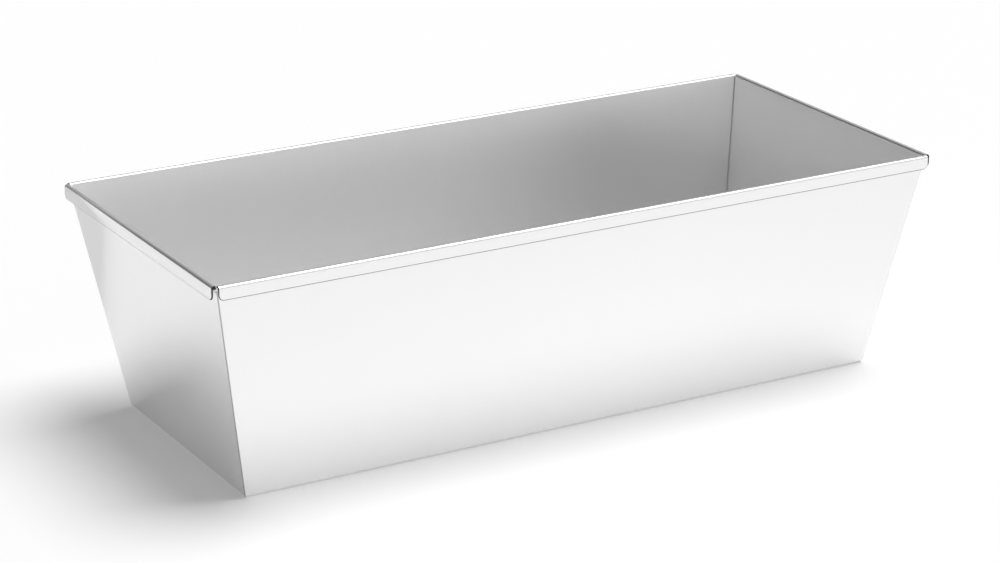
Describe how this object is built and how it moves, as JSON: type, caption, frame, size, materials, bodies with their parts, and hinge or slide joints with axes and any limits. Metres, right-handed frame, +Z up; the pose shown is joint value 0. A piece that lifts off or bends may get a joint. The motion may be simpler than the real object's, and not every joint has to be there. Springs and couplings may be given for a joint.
{
  "type": "loaf pan",
  "caption": "Long open loaf pan in satin sheet metal, with flat leaning walls, a flat base with rounded bends and a rim folded outward over a stiffening wire.",
  "frame": {"origin": "centre of the flat base, on the table", "axes": "+X along the pan to its right end, +Y from the front long wall to the back one, +Z up out of the mouth"},
  "size_m": [0.2526, 0.1126, 0.073],
  "materials": {
    "sheet_metal": "satin, no visible grain",
    "wire_steel": "drawn, semi-bright",
    "weld_metal": "dressed flush, slightly darker than the sheet"
  },
  "bodies": {
    "root": {"body_trough": "sheet_metal", "left_end_panel": "sheet_metal", "right_end_panel": "sheet_metal", "rim_wire": "wire_steel", "front_left_corner_weld": "weld_metal", "front_right_corner_weld": "weld_metal", "back_left_corner_weld": "weld_metal", "back_right_corner_weld": "weld_metal", "left_base_weld": "weld_metal", "right_base_weld": "weld_metal"}
  },
  "joints": []
}
